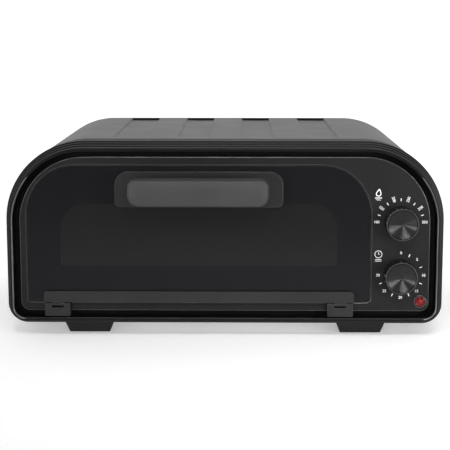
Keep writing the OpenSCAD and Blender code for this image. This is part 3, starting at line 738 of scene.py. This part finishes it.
def flame_icon():
    """Flame over a bar and a wave."""
    x, z = dial_centre("temperature_knob")
    x -= ICON_LEFT
    z += FLAME_UP
    flame = []
    for i in range(32):
        a = 2 * math.pi * i / 32
        belly = 3.4 * MM * math.sin(a) * (0.6 + 0.4 * math.cos(a))
        sway = 0.9 * MM * math.sin(a / 2) ** 4
        flame.append((x + belly + sway, z - 3.6 * MM * math.cos(a)))
    bm = bmesh.new()
    stroke(bm, flame, BOLD, True)
    flat_stroke(bm, x, z - 5.6 * MM, 3.6 * MM, BOLD)
    stroke(bm, [(x + (t - 6) * 0.4 * MM, z - 7.6 * MM + 0.4 * MM * math.sin(t * 1.05))
                for t in range(13)], THIN)
    ink_piece("temperature_icon", bm)


def clock_icon():
    """Clock over two lines."""
    x, z = dial_centre("timer_knob")
    x += 1.0 * MM - ICON_LEFT
    z += CLOCK_UP
    bm = bmesh.new()
    stroke(bm, arc(x, z, 3.7 * MM, 0, 352, 36), THIN, True)
    stroke(bm, [(x, z + 2.3 * MM), (x, z), (x + 1.6 * MM, z)], THIN)
    for drop in (5.4, 7.2):
        flat_stroke(bm, x, z - drop * MM, 3.2 * MM, THIN)
    ink_piece("timer_icon", bm)


flame_icon()
clock_icon()


# ------------------------------------------------------------------ knobs and lamp

def lathe(name, cx, cz, profile, segments=96, angle=35):
    """Turns a profile of (radius, y) round the Y axis through cx, cz."""
    bm = bmesh.new()
    rings = []
    for r, y in profile:
        if r < 1e-7:
            rings.append([bm.verts.new((cx, y, cz))])
            continue
        rings.append([bm.verts.new((cx + r * math.cos(2 * math.pi * i / segments), y,
                                    cz + r * math.sin(2 * math.pi * i / segments)))
                      for i in range(segments)])
    for a, b in zip(rings, rings[1:]):
        for i in range(segments):
            j = (i + 1) % segments
            if len(a) == 1:
                bm.faces.new((a[0], b[i], b[j]))
            elif len(b) == 1:
                bm.faces.new((a[i], a[j], b[0]))
            else:
                bm.faces.new((a[i], a[j], b[j], b[i]))
    return new_object(name, bm, angle)


KNOB_TAPER = 0.7 * MM
KNOB_RIM = 0.45 * MM
KNOB_BASE = 0.4 * MM
KNOB_SEAT = 1.2 * MM
KNOB_LIP = 0.3 * MM
BORE_R = 3.02 * MM
BORE_FROM_FACE = 4 * MM
CAP_PLAY = 0.1 * MM
CAP_CHAMFER = 0.4 * MM
# rings of the turned cap, steps across each, and how its face leans at a ring's two ends, in degrees
TURNS = 30
FLANK_STEPS = 5
INWARD = 30
OUTWARD = -24


def control_knob(kind, body):
    """Tapered knob with rounded rims, and a painted highlight on its front rim."""
    cx, cz = dial_centre(f"{kind}_knob")
    low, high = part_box(f"{kind}_knob")
    front, back, r_back = low.y, high.y, (high.x - low.x) / 2
    r_front = r_back - KNOB_TAPER
    cap_low, cap_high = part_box(f"{kind}_knob_cap")
    seat_r = (cap_high.x - cap_low.x) / 2 + CAP_PLAY
    rim = KNOB_RIM
    profile = [(0.0, front + BORE_FROM_FACE), (BORE_R, front + BORE_FROM_FACE), (BORE_R, back),
               (r_back - KNOB_BASE, back), (r_back, back - KNOB_BASE)]
    for i in range(7):
        a = math.pi / 2 * i / 6
        profile.append((r_front - rim + rim * math.cos(a), front + rim - rim * math.sin(a)))
    for i in range(5):
        a = math.pi / 2 * i / 4
        profile.append((seat_r + KNOB_LIP * (1 - math.sin(a)), front + KNOB_LIP * (1 - math.cos(a))))
    profile += [(seat_r, front + KNOB_SEAT), (0.0, front + KNOB_SEAT)]
    obj = lathe(f"{kind}_knob_turned", cx, cz, profile)
    paint(obj, "knob_black")
    obj.data.materials.append(KNOB_RIM_PAINTED_HIGHLIGHT)
    # front rim rounding takes the lighter copy: painted highlight
    for face in obj.data.polygons:
        c = face.center
        if math.hypot(c.x - cx, c.z - cz) > r_front - 0.6 * MM and c.y < front + rim * 1.2:
            face.material_index = 1
    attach(obj, body)
    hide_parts(f"{kind}_knob")


def knob_cap(kind, body):
    """Metal cap turned with fine rings, which fan its highlights out."""
    cx, cz = dial_centre(f"{kind}_knob_cap")
    low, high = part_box(f"{kind}_knob_cap")
    cap_r = (high.x - low.x) / 2
    face = low.y
    outer = cap_r - CAP_CHAMFER
    turned = [(0.0, high.y), (cap_r, high.y), (cap_r, face + 0.5 * MM), (outer, face + 0.1 * MM)]
    pitch = outer / TURNS
    for i in range(TURNS):
        y = face + 0.3 * MM
        for k in range(FLANK_STEPS + 1):
            lean = math.radians(INWARD + (OUTWARD - INWARD) * k / FLANK_STEPS)
            turned.append((max(outer - pitch * (i + 0.94 * k / FLANK_STEPS), 0.0), y))
            y += pitch / FLANK_STEPS * math.tan(lean)
    turned.append((0.0, turned[-1][1]))
    cap = lathe(f"{kind}_knob_cap_spun", cx, cz, turned, 128, 30)
    paint(cap, "knob_metal")
    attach(cap, body)
    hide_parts(f"{kind}_knob_cap")


BEZEL_ROLL = 0.5 * MM
BEZEL_FLANGE = 0.9 * MM
LENS_PLAY = 0.06 * MM
ROLL_STEPS = 5
# share of the lens's radius that lies over the bulb
BULB_SHARE = 0.6


def lamp():
    """Round lens with a raised middle, in a thin rolled bezel."""
    low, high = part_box("lamp_bezel")
    cx, cz = dial_centre("lamp_bezel")
    r = (high.x - low.x) / 2
    lens_low, lens_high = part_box("lamp_lens")
    lens_r = (lens_high.x - lens_low.x) / 2
    neck_r = r - BEZEL_FLANGE
    hole_r = lens_r + LENS_PLAY
    profile = [(neck_r, high.y), (neck_r, PANEL_LOW.y), (r, PANEL_LOW.y - 0.01 * MM),
               (r, low.y + BEZEL_ROLL)]
    for i in range(1, ROLL_STEPS + 1):
        a = math.pi / 2 * i / ROLL_STEPS
        profile.append((r - BEZEL_ROLL * (1 - math.cos(a)), low.y + BEZEL_ROLL * (1 - math.sin(a))))
    profile += [(lens_r + 0.25 * MM, low.y), (hole_r, low.y + 0.2 * MM), (hole_r, high.y),
                (neck_r, high.y)]
    bezel = lathe("lamp_bezel_rolled", cx, cz, profile, 64)
    paint(bezel, "lamp_metal")
    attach(bezel, "oven")
    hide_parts("lamp_bezel")

    # shares of the lens's radius and depth: back, side, shoulder, groove and raised middle
    dome = lens_high.y - lens_low.y
    shares = [(0.0, 1.0), (1.0, 1.0), (1.0, 0.55), (0.97, 0.42), (0.9, 0.33), (0.8, 0.28),
              (0.7, 0.3), (0.62, 0.38), (0.58, 0.3), (0.5, 0.14), (0.36, 0.04), (0.18, 0.0),
              (0.0, 0.0)]
    outline = [(lens_r * across, lens_low.y + dome * deep) for across, deep in shares]
    lens = lathe("lamp_lens_jewel", cx, cz, outline, 48, 60)
    paint(lens, "lamp_red")
    lens.data.materials.append(LAMP_GLOW)
    for face in lens.data.polygons:
        if math.hypot(face.center.x - cx, face.center.z - cz) < lens_r * BULB_SHARE:
            face.material_index = 1
    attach(lens, "oven")
    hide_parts("lamp_lens")


for control in ("temperature", "timer"):
    control_knob(control, f"{control}_control")
    knob_cap(control, f"{control}_control")
lamp()


# ------------------------------------------------------------------ floor and lights

WORLD_STRENGTH = 0.06
FLOOR_R = 2.5
CURVE_R = 1.5
CURVE_STEPS = 24
WALL_TOP = 5.0
BOWL_SIDES = 96
# the bowl's own glow, from in front of the oven to behind it
GLOW_FROM = -1.3
GLOW_TO = 0.2
GLOW_FRONT = 0.03
GLOW_BACK = 0.4
# where the small front lights aim
CONTROLS = (0.18, -0.17, 0.1)


def stage():
    """Seamless pale bowl all round: floor, curve and wall, glowing a little more at the back."""
    section = [(0.5, 0.0), (FLOOR_R, 0.0)]
    section += [(FLOOR_R + CURVE_R * math.sin(a), CURVE_R * (1 - math.cos(a)))
                for a in [math.pi / 2 * i / CURVE_STEPS for i in range(1, CURVE_STEPS + 1)]]
    section.append((FLOOR_R + CURVE_R, WALL_TOP))
    bm = bmesh.new()
    turns = [2 * math.pi * i / BOWL_SIDES for i in range(BOWL_SIDES)]
    rows = [[bm.verts.new((r * math.cos(a), r * math.sin(a), z)) for a in turns] for r, z in section]
    bm.faces.new(rows[0])
    for p, q in zip(rows, rows[1:]):
        for i in range(BOWL_SIDES):
            j = (i + 1) % BOWL_SIDES
            bm.faces.new((p[i], p[j], q[j], q[i]))
    obj = new_object("studio_bowl", bm, 60)
    n = Nodes("studio_bowl")
    n.link(n.ramp(n.noise(2.0), (0.88, 0.88, 0.88), (0.9, 0.9, 0.9)), n.shader.inputs["Base Color"])
    n.shader.inputs["Roughness"].default_value = 0.95
    n.shader.inputs["Specular IOR Level"].default_value = 0.0
    n.shader.inputs["Emission Color"].default_value = (1, 1, 1, 1)
    split = n.add("ShaderNodeSeparateXYZ")
    n.link(n.coords.outputs["Object"], split.inputs[0])
    glow = n.add("ShaderNodeMapRange", **{"From Min": GLOW_FROM, "From Max": GLOW_TO,
                                          "To Min": GLOW_FRONT, "To Max": GLOW_BACK})
    n.link(split.outputs["Y"], glow.inputs["Value"])
    n.link(glow.outputs[0], n.shader.inputs["Emission Strength"])
    obj.data.materials.append(n.material)


def area_light(name, place, size, power, target=(0, 0, 0.1), spread=180):
    """Soft rectangular light that the camera doesn't see; spread is in degrees."""
    data = bpy.data.lights.new(name, "AREA")
    data.shape = "RECTANGLE"
    data.size, data.size_y = size
    data.energy = power
    data.spread = math.radians(spread)
    light = bpy.data.objects.new(name, data)
    bpy.context.scene.collection.objects.link(light)
    light.location = place
    light.visible_camera = False
    direction = Vector(target) - Vector(place)
    light.rotation_euler = direction.to_track_quat("-Z", "Y").to_euler()


def lights():
    """Large soft lights overhead and behind, small ones in front for the controls, faint side fill."""
    bpy.context.scene.view_settings.view_transform = "Standard"
    world = bpy.data.worlds.new("studio")
    bpy.context.scene.world = world
    world.use_nodes = True
    world.node_tree.nodes["Background"].inputs["Color"].default_value = (1, 1, 1, 1)
    world.node_tree.nodes["Background"].inputs["Strength"].default_value = WORLD_STRENGTH
    area_light("overhead", (0, 0.9, 2.0), (3.2, 2.0), 11)
    area_light("back", (0, 2.0, 1.6), (4.0, 1.5), 13, (0, 3.6, 0.9))
    area_light("front_top", (0.1, -1.16, 0.94), (0.8, 0.22), 1.3, CONTROLS, 60)
    area_light("front_right", (0.76, -0.86, 0.17), (0.22, 0.33), 0.6, CONTROLS, 60)
    area_light("front_left", (-0.75, -1.17, 0.2), (0.3, 0.35), 0.5, CONTROLS, 60)
    area_light("left", (-1.7, -0.7, 0.7), (0.4, 1.0), 3)
    area_light("right", (1.7, -0.7, 0.7), (0.4, 1.0), 1)


stage()
lights()
